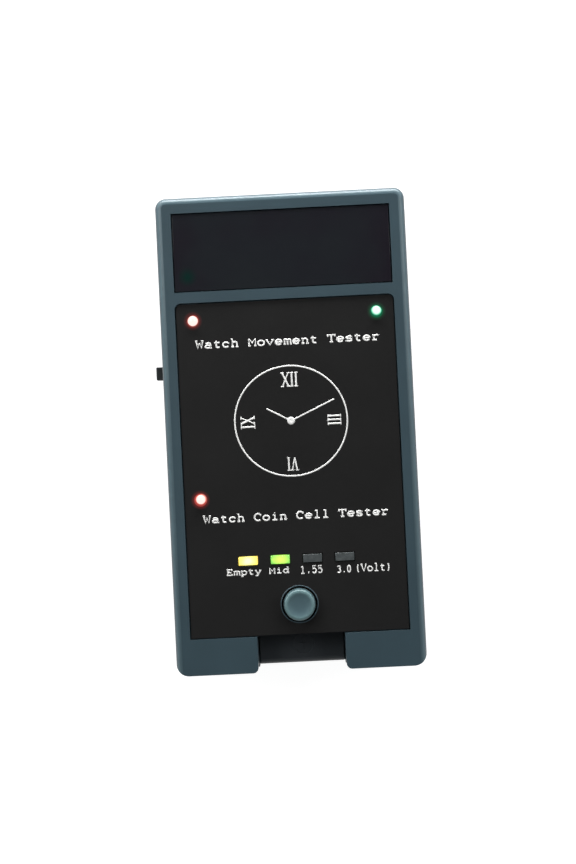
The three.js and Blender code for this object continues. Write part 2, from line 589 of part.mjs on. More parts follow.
// Can lying on its side, with a crimp near one end and two leads bent up to the board.
function storageCapacitor() {
  const { x, z, r, y0, y1, crimpY, crimpDepth, leadX, leadY } = CAPACITOR;
  const crimp = rodY(x, z, r + 1, crimpY - 0.4, crimpY + 0.4, 24)
    .subtract(rodY(x, z, r - crimpDepth, crimpY - 1, crimpY + 1, 24));
  const leads = [-leadX, leadX].flatMap((dx) => [
    rodY(x + dx, z, 0.35, y1 - 0.5, leadY + 0.3, 8),
    rod(x + dx, leadY, 0.35, z - 0.3, BOARD.z0 - GAP, 8),
  ]);
  return addAll(rodY(x, z, r, y0, y1, 24).subtract(crimp), leads);
}

function trimmer() {
  const { x, y, size, z0, z1, rotorR } = TRIMMER;
  const rotor = rod(x, y, rotorR, z0 - 0.5, z0 + 0.1, 20).subtract(post(x, y, 3, 0.6, z0 - 1, z0 - 0.2));
  const legs = [[-2.4, -2], [2.4, -2], [0, 2.4]].map(([dx, dy]) => [x + dx, y + dy, z1 - 0.2]);
  return leggedPart(addAll(post(x, y, size, size, z0, z1), [rotor]), legs);
}

function inductorCore() {
  const { x, y, coreR, r, z0, z1, flange } = INDUCTOR;
  const discs = [z0, z1 - flange].map((z) => rod(x, y, r, z, z + flange, 28));
  return addAll(rod(x, y, coreR, z0, z1, 20), discs);
}

function inductorWinding() {
  const { x, y, coreR, windR, z0, z1, flange } = INDUCTOR;
  return rod(x, y, windR, z0 + flange + GAP, z1 - flange - GAP, 28)
    .subtract(rod(x, y, coreR + GAP, z0, z1, 20));
}

piece('control_chip', geometryOf(controlChip()), blackPlastic);
piece('driver_transistor', geometryOf(driverTransistor()), blackPlastic);
piece('storage_capacitor', geometryOf(storageCapacitor()), capacitorWrap);
piece('pulse_trimmer', geometryOf(trimmer()), trimmerBlue);
piece('boost_inductor_core', geometryOf(inductorCore()), ferrite);
piece('boost_inductor_winding', geometryOf(inductorWinding()), copper);

// ---------- watch pulse pickup under the dial ----------
function pickupWinding() {
  const p = PICKUP;
  const y = p.coreY + p.windT;
  const room = p.coreY + GAP;
  const outer = box(-p.windX, p.windX, p.y - y, p.y + y, BOARD.z1 + GAP, IN.top - 0.2);
  return outer.subtract(box(-p.coreX, p.coreX, p.y - room, p.y + room, p.core0 - GAP, p.core1 + GAP));
}

function pickupSaddle(side) {
  const p = PICKUP;
  const x = side * (p.coreX - 1.6);
  const block = post(x, p.y, p.saddleW, p.saddleD, BOARD.z1 + GAP, p.core1 - 0.2);
  return block.subtract(post(x, p.y, p.saddleW + 1, 2 * (p.coreY + GAP), p.core0 - GAP, CASE.h));
}

const pickupBar = post(0, PICKUP.y, 2 * PICKUP.coreX, 2 * PICKUP.coreY, PICKUP.core0, PICKUP.core1);
piece('pickup_core', geometryOf(pickupBar), ferrite);
piece('pickup_winding', geometryOf(pickupWinding()), copper);
piece('pickup_saddle_left', geometryOf(pickupSaddle(-1)), bobbinNylon);
piece('pickup_saddle_right', geometryOf(pickupSaddle(1)), bobbinNylon);

// ---------- demagnetizing coil under the window ----------
function coilBobbin() {
  const c = COIL;
  const flange = (z0) => roundedBox(-c.x, c.x, c.y - c.d / 2, c.y + c.d / 2, z0, z0 + c.flange, 3, 5);
  const hub = roundedBox(-c.hubX, c.hubX, c.y - c.hubD / 2, c.y + c.hubD / 2, c.z0, c.z1, 2, 4);
  const bore = post(0, c.y, 2 * (c.hubX - c.hubWall), c.hubD - 2 * c.hubWall, 0, CASE.h);
  return addAll(flange(c.z0), [flange(c.z1 - c.flange), hub]).subtract(bore);
}

function coilWinding() {
  const c = COIL;
  const z0 = c.z0 + c.flange + GAP;
  const z1 = c.z1 - c.flange - GAP;
  const outX = c.x - 0.8;
  const outY = c.d / 2 - 0.6;
  const inX = c.hubX + GAP;
  const inY = c.hubD / 2 + GAP;
  return roundedBox(-outX, outX, c.y - outY, c.y + outY, z0, z1, 3, 6)
    .subtract(roundedBox(-inX, inX, c.y - inY, c.y + inY, z0 - 1, z1 + 1, 2, 4));
}

function coilCore() {
  const c = COIL;
  const x = c.hubX - c.hubWall - GAP;
  const y = c.hubD / 2 - c.hubWall - GAP;
  return box(-x, x, c.y - y, c.y + y, c.z0 + 0.2, c.z1);
}

piece('coil_bobbin', geometryOf(coilBobbin()), bobbinNylon);
piece('coil_winding', geometryOf(coilWinding()), copper);
piece('coil_core', geometryOf(coilCore()), ferrite);

// ---------- battery, snap connector, pad and leads ----------
function battery() {
  const b = BATTERY;
  const z = (b.z0 + b.z1) / 2;
  const body = roundedBox(-b.x, b.x, b.y0, b.y1, b.z0, b.z1, 1.5, 4);
  return addAll(body, [
    rodY(-b.studX, z, b.smallR, b.y1 - 0.5, b.y1 + b.studH, 20),
    rodY(b.studX, z, b.largeR, b.y1 - 0.5, b.y1 + b.studH, 20),
  ]);
}

function batterySnap() {
  const b = BATTERY;
  const z = (b.z0 + b.z1) / 2;
  const y0 = b.y1 + GAP;
  const socketEnd = y0 + b.studH + GAP;
  return subtractAll(box(-SNAP.x, SNAP.x, y0, y0 + SNAP.t, z - SNAP.halfH, z + SNAP.halfH), [
    rodY(-b.studX, z, b.smallR + 0.4, y0 - 1, socketEnd, 20),
    rodY(b.studX, z, b.largeR + 0.4, y0 - 1, socketEnd, 20),
  ]);
}

piece('battery_9v', geometryOf(battery()), batteryWrap);
piece('battery_snap', geometryOf(batterySnap()), blackPlastic);
piece('battery_pad', geometryOf(box(-12, 12, -32.8, BATTERY.y0 - 0.3, 4, 18)), foam);

// Leads leave the snap, rise through the gate in the compartment wall and end under the board.
const snapEnd = BATTERY.y1 + GAP + SNAP.t + GAP;
for (const [name, side, look] of [['lead_red', 1, redWire], ['lead_black', -1, blackWire]]) {
  const route = [
    [side * 3.5, snapEnd, 11.2], [side * 3.7, snapEnd + 2, 11.4], [side * 4, snapEnd + 4.5, 12.6],
    [side * 4.4, snapEnd + 6.4, 15], [side * 4.6, snapEnd + 7.2, 17.4],
    [side * 4.6, snapEnd + 7.4, BOARD.z0 - GAP],
  ];
  piece(name, wire(route, 0.65, 18, 4), look);
}

export default model;
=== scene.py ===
"""Looks of the pocket watch tester: a demagnetizing pad, a pulse checker and a coin-cell checker."""

import json
import math

import bmesh
import bpy
from mathutils import Matrix, Vector


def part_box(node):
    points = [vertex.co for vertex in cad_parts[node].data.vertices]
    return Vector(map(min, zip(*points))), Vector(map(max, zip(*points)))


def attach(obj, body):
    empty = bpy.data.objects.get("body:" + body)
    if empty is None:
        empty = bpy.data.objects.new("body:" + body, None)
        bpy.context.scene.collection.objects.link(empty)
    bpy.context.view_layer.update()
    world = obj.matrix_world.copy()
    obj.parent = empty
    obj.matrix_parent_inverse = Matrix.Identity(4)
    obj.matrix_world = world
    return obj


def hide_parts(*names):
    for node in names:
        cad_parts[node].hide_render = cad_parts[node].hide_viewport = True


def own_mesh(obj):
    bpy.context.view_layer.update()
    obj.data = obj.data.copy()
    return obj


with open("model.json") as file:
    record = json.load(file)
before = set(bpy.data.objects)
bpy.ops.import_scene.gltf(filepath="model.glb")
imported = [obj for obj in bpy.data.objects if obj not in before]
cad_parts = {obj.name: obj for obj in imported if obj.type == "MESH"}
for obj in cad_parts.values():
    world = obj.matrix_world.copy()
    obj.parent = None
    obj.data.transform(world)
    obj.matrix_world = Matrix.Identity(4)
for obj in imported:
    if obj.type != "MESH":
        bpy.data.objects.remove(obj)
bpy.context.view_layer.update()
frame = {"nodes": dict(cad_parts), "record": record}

MM = 0.001
NODES = frame["nodes"]
SLOT_OF = {part["node"]: part["material_slot"] for part in frame["record"]["subparts"]}


# ---------- small helpers ----------
def middle(node):
    low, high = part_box(node)
    return (low + high) / 2


def linear(r, g, b):
    """A colour given in 0..255 screen values, as the linear values that shaders use."""
    def channel(value):
        c = value / 255
        return c / 12.92 if c <= 0.04045 else ((c + 0.055) / 1.055) ** 2.4
    return (channel(r), channel(g), channel(b), 1.0)


def mesh_object(name, bm, smooth=True):
    mesh = bpy.data.meshes.new(name)
    bm.to_mesh(mesh)
    bm.free()
    piece = bpy.data.objects.new(name, mesh)
    bpy.context.scene.collection.objects.link(piece)
    if smooth:
        mesh.shade_smooth()
    return piece


def place(piece, body, slot, material, *replaced):
    """Gives a piece its material and body, and hides the CAD nodes that it stands for; the slot is not used.
    """
    piece.data.materials.clear()
    piece.data.materials.append(material)
    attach(piece, body)
    if replaced:
        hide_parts(*replaced)


def apply_modifiers(piece):
    bpy.context.view_layer.update()
    graph = bpy.context.evaluated_depsgraph_get()
    mesh = bpy.data.meshes.new_from_object(piece.evaluated_get(graph))
    piece.modifiers.clear()
    piece.data = mesh


SAME_POINT = 1e-6                   # vertices closer than this, in metres, are one
SAME_FACE = math.radians(0.6)       # neighbouring triangles within this angle are one flat face
CREASE = math.radians(40)           # edges sharper than this stay sharp when a piece is shaded
SQUARE = 0.99995                    # a normal this close to an axis belongs to a flat wall
HIGHLIGHT_UP = 0.84                    # how far up the brightest part of the painted highlight on a rounded edge faces
HIGHLIGHT_SPREAD = 0.3


def refined(node, name, edge, segments=3, sharp=35):
    """A fine copy of a CAD node: flat faces made whole, sharp edges rounded by a real bevel."""
    piece = bpy.data.objects.new(name, NODES[node].data.copy())
    bpy.context.scene.collection.objects.link(piece)
    bm = bmesh.new()
    bm.from_mesh(piece.data)
    bmesh.ops.remove_doubles(bm, verts=bm.verts, dist=SAME_POINT)
    bmesh.ops.dissolve_limit(
        bm, angle_limit=SAME_FACE, verts=bm.verts, edges=bm.edges, delimit={"NORMAL"})
    bm.to_mesh(piece.data)
    bm.free()
    bevel = piece.modifiers.new("edge", "BEVEL")
    bevel.width = edge * MM
    bevel.segments = segments
    bevel.limit_method = "ANGLE"
    bevel.angle_limit = math.radians(sharp)
    bevel.use_clamp_overlap = True
    apply_modifiers(piece)
    shade_like_moulding(piece.data)
    return piece


def shade_like_moulding(mesh):
    """Faces square to an axis stay truly flat; fillets, bevels and round walls are smooth.

    An attribute is 1 on the upper part of an edge's rounding, where a lighter highlight is painted, and 0 on
    flat faces.
    """
    mesh.shade_smooth()
    mesh.set_sharp_from_angle(angle=CREASE)
    edge_highlight = mesh.attributes.new("edge_highlight", "FLOAT", "FACE")
    for face in mesh.polygons:
        face.use_smooth = max(abs(c) for c in face.normal) < SQUARE
        from_highlight = abs(abs(face.normal.z) - HIGHLIGHT_UP) / HIGHLIGHT_SPREAD
        edge_highlight.data[face.index].value = max(0.0, 1.0 - from_highlight) if face.use_smooth else 0.0


# ---------- material building blocks ----------
class Look:
    """A new material with one Principled shader, and short calls for the nodes around it."""

    def __init__(self, name, color, roughness, metallic=0.0):
        self.material = bpy.data.materials.new(name)
        self.material.use_nodes = True
        self.nodes = self.material.node_tree.nodes
        self.links = self.material.node_tree.links
        self.shader = self.nodes["Principled BSDF"]
        self.shader.inputs["Base Color"].default_value = color
        self.shader.inputs["Roughness"].default_value = roughness
        self.shader.inputs["Metallic"].default_value = metallic
        self.place = self.nodes.new("ShaderNodeTexCoord").outputs["Object"]

    def fill(self, socket, value):
        if isinstance(value, bpy.types.NodeSocket):
            self.links.new(value, socket)
        else:
            socket.default_value = value

    def add(self, kind, **inputs):
        """A new node. An input's name is written with _ for each space."""
        node = self.nodes.new(kind)
        for key, value in inputs.items():
            self.fill(node.inputs[key.replace("_", " ")], value)
        return node

    def noise(self, per_mm, detail=3.0, rough=0.55):
        node = self.add(
            "ShaderNodeTexNoise", Vector=self.place, Scale=per_mm / MM, Detail=detail, Roughness=rough)
        return node.outputs["Fac"]

    def ramp(self, factor, stops):
        node = self.add("ShaderNodeValToRGB", Fac=factor)
        while len(node.color_ramp.elements) < len(stops):
            node.color_ramp.elements.new(0.5)
        for element, (position, color) in zip(node.color_ramp.elements, stops):
            element.position = position
            element.color = color
        return node.outputs["Color"]

    def spread(self, factor, low, high, out_low, out_high):
        node = self.add(
            "ShaderNodeMapRange", Value=factor, From_Min=low, From_Max=high, To_Min=out_low, To_Max=out_high)
        return node.outputs["Result"]

    def mix(self, factor, a, b):
        """Colour a where the factor is 0 and colour b where it is 1."""
        node = self.nodes.new("ShaderNodeMix")
        node.data_type = "RGBA"
        for index, value in ((0, factor), (6, a), (7, b)):
            self.fill(node.inputs[index], value)
        return node.outputs[2]

    def math(self, operation, a, b=0.0):
        node = self.nodes.new("ShaderNodeMath")
        node.operation = operation
        for index, value in ((0, a), (1, b)):
            self.fill(node.inputs[index], value)
        return node.outputs[0]

    def from_axis(self, centre):
        """Distance from the upright line through a point."""
        flat = self.add("ShaderNodeVectorMath", Vector=self.place)
        flat.operation = "MULTIPLY"
        flat.inputs[1].default_value = (1, 1, 0)
        away = self.add("ShaderNodeVectorMath", Vector=flat.outputs["Vector"])
        away.operation = "DISTANCE"
        away.inputs[1].default_value = (centre.x, centre.y, 0)
        return away.outputs["Value"]

    def glow(self, socket, strength):
        self.links.new(socket, self.shader.inputs["Emission Color"])
        self.shader.inputs["Emission Strength"].default_value = strength

    def painted_edge_highlight(self):
        """A painted highlight: the mesh's band on the upper part of rounded edges, broken up by noise."""
        edge_highlight = self.nodes.new("ShaderNodeAttribute")
        edge_highlight.attribute_name = "edge_highlight"
        patches = self.spread(self.noise(0.5), 0.2, 0.6, 0.75, 1.0)
        return self.math("MULTIPLY", edge_highlight.outputs["Fac"], patches)

    def color(self, socket):
        self.links.new(socket, self.shader.inputs["Base Color"])

    def roughness(self, socket):
        self.links.new(socket, self.shader.inputs["Roughness"])

    def bump(self, height, depth_mm):
        node = self.add("ShaderNodeBump", Strength=1.0, Distance=depth_mm * MM, Height=height)
        self.links.new(node.outputs["Normal"], self.shader.inputs["Normal"])


def shade(color, share):
    """The same colour, darker or lighter by a share."""
    return tuple(c * share for c in color[:3]) + (1.0,)


def moulded_plastic(name, color, light, roughness=0.42, grain=0.012):
    """Spark-textured moulded plastic: fine grain, faint cloudiness, a lighter painted highlight in patches on
    rounded edges.
    """
    look = Look(name, color, roughness)
    cloud = look.noise(0.06, detail=4.0)
    body = look.ramp(cloud, [(0.3, shade(color, 0.93)), (0.7, shade(color, 1.07))])
    look.color(look.mix(look.painted_edge_highlight(), body, light))
    speck = look.noise(5.0, detail=2.0, rough=0.6)
    look.roughness(look.spread(speck, 0.3, 0.7, roughness - 0.05, roughness + 0.06))
    look.bump(speck, grain)
    return look


def metal(name, color, roughness):
    """Bare or plated metal, slightly cloudy in tone and gloss."""
    look = Look(name, color, roughness, metallic=1.0)
    tone = look.noise(0.8, detail=4.0)
    look.color(look.ramp(tone, [(0.3, shade(color, 0.8)), (0.75, color)]))
    look.roughness(look.spread(tone, 0.3, 0.7, roughness * 0.95, roughness * 1.08))
    look.bump(tone, 0.002)
    return look


# ---------- materials ----------
def plastic(name, color, light, **finish):
    return moulded_plastic(name, linear(*color), linear(*light), **finish).material


# The second colour of each plastic is the painted highlight on its rounded edges.
CASE = plastic("case_plastic", (49, 67, 75), (77, 100, 108), roughness=0.39)
# The tray's plastic is a lighter copy of the black plastic: painted light that lifts the shade in the cell
# notch.
TRAY_BLACK_PAINTED_LIGHTER = plastic("tray_black_painted_lighter", (39, 45, 50), (42, 48, 52), roughness=0.5)
BLACK = plastic("black_plastic", (30, 33, 35), (46, 50, 54), roughness=0.38)
STEEL = metal("plated_steel", (0.62, 0.62, 0.64, 1.0), 0.28).material
BRONZE = metal("contact_bronze", (0.72, 0.5, 0.24, 1.0), 0.26).material
FERRITE = plastic("ferrite", (44, 44, 47), (70, 70, 74), roughness=0.6, grain=0.02)
NYLON = plastic("bobbin_nylon", (214, 206, 182), (228, 222, 204), roughness=0.5)
RED_WIRE = plastic("wire_red", (176, 24, 22), (196, 60, 54), roughness=0.35, grain=0.004)
BLACK_WIRE = plastic("wire_black", (24, 24, 25), (48, 48, 50), roughness=0.35, grain=0.004)
TRIMMER = plastic("trimmer_plastic", (42, 92, 170), (80, 124, 190), roughness=0.4)
FOAM = plastic("foam_pad", (58, 58, 58), (80, 80, 80), roughness=0.9, grain=0.12)
SLEEVE = plastic("capacitor_sleeve", (28, 40, 74), (60, 74, 110), roughness=0.25, grain=0.003)
JACKET = plastic("battery_jacket", (48, 52, 58), (96, 100, 106), roughness=0.3, grain=0.003)
GREEN_LENS = plastic("green_lens", (10, 96, 58), (30, 140, 90), roughness=0.2, grain=0.002)

LENS_R = 1.45           # round lights, in millimetres
SPILL_R = 2.6           # how far their light reaches on the face
LAMP_SPILL = {
    "led_power_red": linear(92, 26, 26),
    "led_cell_red": linear(112, 28, 28),
    "led_pulse_green": linear(12, 72, 44),
}


def label_look():
    """Matt printed film with a faint orange peel; light spills on it round each lit lens."""
    look = Look("label_film", linear(34, 34, 34), 0.4)
    cloud = look.noise(0.05)
    look.color(look.ramp(cloud, [(0.3, linear(29, 29, 29)), (0.72, linear(32, 32, 32))]))
    peel = look.noise(1.6, detail=2.0)
    look.shader.inputs["Specular IOR Level"].default_value = 0.15
    look.roughness(look.spread(peel, 0.3, 0.7, 0.34, 0.42))
    look.bump(peel, 0.006)
    spill = (0.0, 0.0, 0.0, 1.0)
    for node, tint in LAMP_SPILL.items():
        near = look.spread(look.from_axis(middle(node)), LENS_R * MM, SPILL_R * MM, 1.0, 0.0)
        spill = look.mix(look.math("POWER", near, 1.4), spill, tint)
    look.glow(spill, 1.0)
    return look.material


def window_look():
    """Smoked sheet: nearly black with faint violet and green clouds, polished.

    The unlit green light under it shows through faintly.
    """
    look = Look("smoked_window", linear(31, 32, 36), 0.16)
    cloud = look.noise(0.045, detail=2.0, rough=0.4)
    base = look.ramp(
        cloud, [(0.36, linear(28, 26, 32)), (0.52, linear(29, 31, 35)), (0.68, linear(30, 33, 36))])
    lamp = look.spread(look.from_axis(middle("led_demag_green")), 0.4 * MM, SPILL_R * MM, 1.0, 0.0)
    look.color(look.mix(lamp, base, linear(12, 38, 34)))
    haze = look.noise(0.3, detail=5.0)
    look.roughness(look.spread(haze, 0.3, 0.7, 0.13, 0.2))
    look.shader.inputs["Coat Weight"].default_value = 0.15
    look.shader.inputs["Coat Roughness"].default_value = 0.08
    return look.material


def ink_look():
    look = Look("white_ink", linear(226, 226, 224), 0.5)
    tone = look.noise(2.5)
    look.color(look.ramp(tone, [(0.3, linear(214, 214, 212)), (0.7, linear(236, 236, 234))]))
    look.bump(tone, 0.004)
    return look.material


def board_look():
    """Green solder mask over long copper traces, raised and lighter, with bare patches between."""
    look = Look("board_laminate", linear(24, 92, 48), 0.35)
    grid = look.add(
        "ShaderNodeTexBrick", Vector=look.place, Scale=1 / MM, Mortar_Size=0.16, Mortar_Smooth=0.2,
        Brick_Width=17.0, Row_Height=1.25)
    routed = look.spread(look.noise(0.09, detail=1.0), 0.46, 0.5, 0.0, 1.0)
    trace = look.math("MULTIPLY", grid.outputs["Fac"], routed)
    look.color(look.mix(trace, linear(20, 78, 40), linear(30, 100, 53)))
    look.bump(trace, 0.03)
    return look.material


def winding_look():
    """Enamelled copper wire wound side by side: fine parallel ridges."""
    look = Look("copper_winding", (0.62, 0.25, 0.09, 1.0), 0.3, metallic=1.0)
    wave = look.add("ShaderNodeTexWave", Vector=look.place, Scale=2.0 / MM, Distortion=0.2)
    wave.bands_direction = "Z"
    # Darker between the turns and lighter on their crowns: painted shade in the grooves and a painted
    # highlight on the ridges.
    between, crown = (0.3, 0.09, 0.03, 1.0), (0.7, 0.3, 0.12, 1.0)
    look.color(look.ramp(wave.outputs["Fac"], [(0.1, between), (0.6, crown)]))
    look.bump(wave.outputs["Fac"], 0.08)
    return look.material


LABEL = label_look()
WINDOW = window_look()
INK = ink_look()
BOARD = board_look()
WINDING = winding_look()


def lit_round_look(name, centre, radius, core, rim, outer, filled):
    """Lit lens: a near-white core out to a share of the radius, then the tint of the rim."""
    look = Look(name, outer, 0.18)
    fall = look.spread(look.from_axis(centre), 0.0, radius, 0.0, 1.0)
    grain = look.noise(1.5, detail=2.0)
    ragged = look.math("ADD", fall, look.spread(grain, 0.3, 0.7, -0.015, 0.015))
    stops = [(0.0, core), (filled, core), ((filled + 1) / 2, rim), (0.98, outer)]
    look.glow(look.ramp(ragged, stops), 1.0)
    look.bump(grain, 0.004)
    return look.material


def lit_bar_look(name, low, high, core, body, edge):
    """Lit diffused bar: a hot middle, its own tint round it, darker at the ends."""
    look = Look(name, edge, 0.25)
    split = look.add("ShaderNodeSeparateXYZ", Vector=look.place)
    centre = (low + high) / 2
    half = (high - low) / 2
    along = look.math("DIVIDE", look.math("SUBTRACT", split.outputs["X"], centre.x), half.x)
    across = look.math("DIVIDE", look.math("SUBTRACT", split.outputs["Y"], centre.y), half.y * 1.5)
    squares = look.math("ADD", look.math("MULTIPLY", along, along), look.math("MULTIPLY", across, across))
    fall = look.math("SQRT", squares)
    tone = look.noise(1.1, detail=2.0)
    ragged = look.math("ADD", fall, look.spread(tone, 0.3, 0.7, -0.1, 0.1))
    look.glow(look.ramp(ragged, [(0.2, core), (0.75, body), (1.05, edge)]), 1.0)
    look.bump(tone, 0.01)
    return look.material


def unlit_bar_look():
    look = Look("unlit_lens", linear(70, 75, 76), 0.3)
    tone = look.noise(0.9)
    look.color(look.ramp(tone, [(0.3, linear(62, 67, 68)), (0.7, linear(78, 83, 84))]))
    look.bump(tone, 0.01)
    return look.material


# ---------- case, window, label, tray ----------
def case_pieces():
    place(refined("front_shell", "front_case", 0.28), "case", "case_plastic", CASE, "front_shell")
    place(refined("rear_shell", "rear_case", 0.22), "case", "case_plastic", CASE, "rear_shell")
    place(refined("battery_door", "sliding_door", 0.2), "battery_door", "case_plastic", CASE, "battery_door")
    place(refined("demag_window", "smoked_pad", 0.05, 2), "case", "smoked_window", WINDOW, "demag_window")
    place(refined("face_label", "printed_face", 0.06, 2), "case", "label_film", LABEL, "face_label")
    place(refined("cell_tray", "coin_tray", 0.15), "case", "black_plastic", TRAY_BLACK_PAINTED_LIGHTER, "cell_tray")


# ---------- button, its hole and its spring ----------
BUTTON_HOLE = 4.65      # radius of the hole round the button, in millimetres
TURN_STEPS = 96


def lathe(name, profile, centre):
    """Turns (radius, height) points, in millimetres, round an upright axis into one closed piece."""
    bm = bmesh.new()
    angles = [2 * math.pi * i / TURN_STEPS for i in range(TURN_STEPS)]
    rings = []
    for radius, z in profile:
        r = radius * MM
        ring = [
            bm.verts.new((centre.x + r * math.cos(a), centre.y + r * math.sin(a), z * MM))
            for a in angles]
        rings.append(ring)
    for lower, upper in zip(rings, rings[1:] + rings[:1]):
        for i in range(TURN_STEPS):
            j = (i + 1) % TURN_STEPS
            bm.faces.new((lower[i], lower[j], upper[j], upper[i]))
    bmesh.ops.remove_doubles(bm, verts=bm.verts, dist=SAME_POINT / 10)
    bmesh.ops.recalc_face_normals(bm, faces=bm.faces)
    piece = mesh_object(name, bm)
    piece.data.set_sharp_from_angle(angle=math.radians(50))
    return piece


def button_cap():
    """Hollow cap: a dished face inside a soft rim, straight sides and an open underside."""
    low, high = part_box("test_button")
    bottom, top = low.z / MM, high.z / MM
    outer = (high.x - low.x) / 2 / MM
    rim = outer - 0.2
    inside = outer - 1.1
    ceiling = top - 1.2
    dish = [(0.0, 0.26), (0.9, 0.255), (1.7, 0.23), (2.3, 0.18), (2.75, 0.1), (3.05, 0.03), (3.3, 0.0)]
    shoulder = [(rim - 0.35, 0.03), (rim - 0.15, 0.12), (rim - 0.03, 0.28), (rim, 0.5)]
    profile = [(r, top - drop) for r, drop in dish + shoulder]
    profile += [(outer, bottom), (inside, bottom), (inside, ceiling), (0.0, ceiling)]
    return lathe("teal_cap", profile, (low + high) / 2)


def button_look(centre, rim):
    """Satin teal cap with a moulded grain; painted shading from the darker dished middle to a lighter painted
    highlight ring on the rim, with painted shade at the outer edge.
    """
    dished, rim_highlight = linear(70, 92, 99), linear(96, 124, 127)
    look = moulded_plastic("button_plastic", dished, rim_highlight, roughness=0.36, grain=0.006)
    share = look.math("DIVIDE", look.from_axis(centre), rim)
    grain = look.spread(look.noise(1.2), 0.3, 0.7, -0.03, 0.03)
    # Painted shading across the cap: darker dished middle, highlight ring on the rim, shade at the outer
    # edge.
    look.color(look.ramp(look.math("ADD", share, grain), [
        (0.3, dished), (0.68, linear(75, 99, 105)), (0.8, rim_highlight),
        (0.92, linear(88, 114, 117)), (1.0, linear(52, 70, 76))]))
    return look.material


def hole_lip(centre):
    """A low rounded ring on the face, round the button's hole."""
    inner, outer = BUTTON_HOLE, BUTTON_HOLE + 0.32
    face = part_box("face_label")[1].z / MM
    root, shoulder, crest = face - 0.3, face + 0.1, face + 0.17
    profile = [(inner, root), (inner, shoulder), (inner + 0.08, crest), (inner + 0.2, crest),
               (outer - 0.02, shoulder), (outer, root)]
    return lathe("button_hole_lip", profile, centre)


def button_pieces():
    low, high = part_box("test_button")
    centre = (low + high) / 2
    look = button_look(centre, (high.x - low.x) / 2)
    place(button_cap(), "test_button", "button_plastic", look, "test_button")
    place(hole_lip(centre), "case", "case_plastic", CASE)
    place(refined("side_button", "side_key", 0.25), "side_button", "black_plastic", BLACK, "side_button")
    button_spring()


def button_spring():
    """The return spring, on its seat in the case."""
    spring = bpy.data.objects.new("cap_spring", NODES["return_spring"].data.copy())
    bpy.context.scene.collection.objects.link(spring)
    spring.data.shade_smooth()
    place(spring, "case", "steel", STEEL, "return_spring")
    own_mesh(spring)


# ---------- printed artwork ----------
def line(*points):
    return list(points)


def arc(cx, cy, rx, ry, start, stop, step=18):
    """Points along an ellipse from one angle to another, in degrees."""
    count = max(6, int(abs(stop - start) / step))
    angles = [math.radians(start + (stop - start) * i / count) for i in range(count + 1)]
    return [(cx + rx * math.cos(a), cy + ry * math.sin(a)) for a in angles]


# A typewriter alphabet drawn with one pen. Each letter stands in a cell 10 wide. BASE, MID, TOP and TALL
# are the heights of the pen at the baseline and at the top of a small letter, a capital and a tall letter;
# LOW is the end of a tail.
BASE, MID, TOP, TALL, LOW = 0.7, 7.3, 10.4, 11, -2


def foot(x, half=1.5, y=BASE):
    """The short cross stroke that ends a stem."""
    return line((x - half, y), (x + half, y))


def arch(x0, x1, spring=4.9):
    """A round shoulder from one stem to the next, and the second stem down to the baseline."""
    middle_x = (x0 + x1) / 2
    return arc(middle_x, spring, (x1 - x0) / 2, MID - spring, 180, 0) + [(x1, BASE)]


def bowl(cx, rx=3.6):
    """The closed round of a small letter."""
    return arc(cx, 4, rx, 3.3, 0, 360)


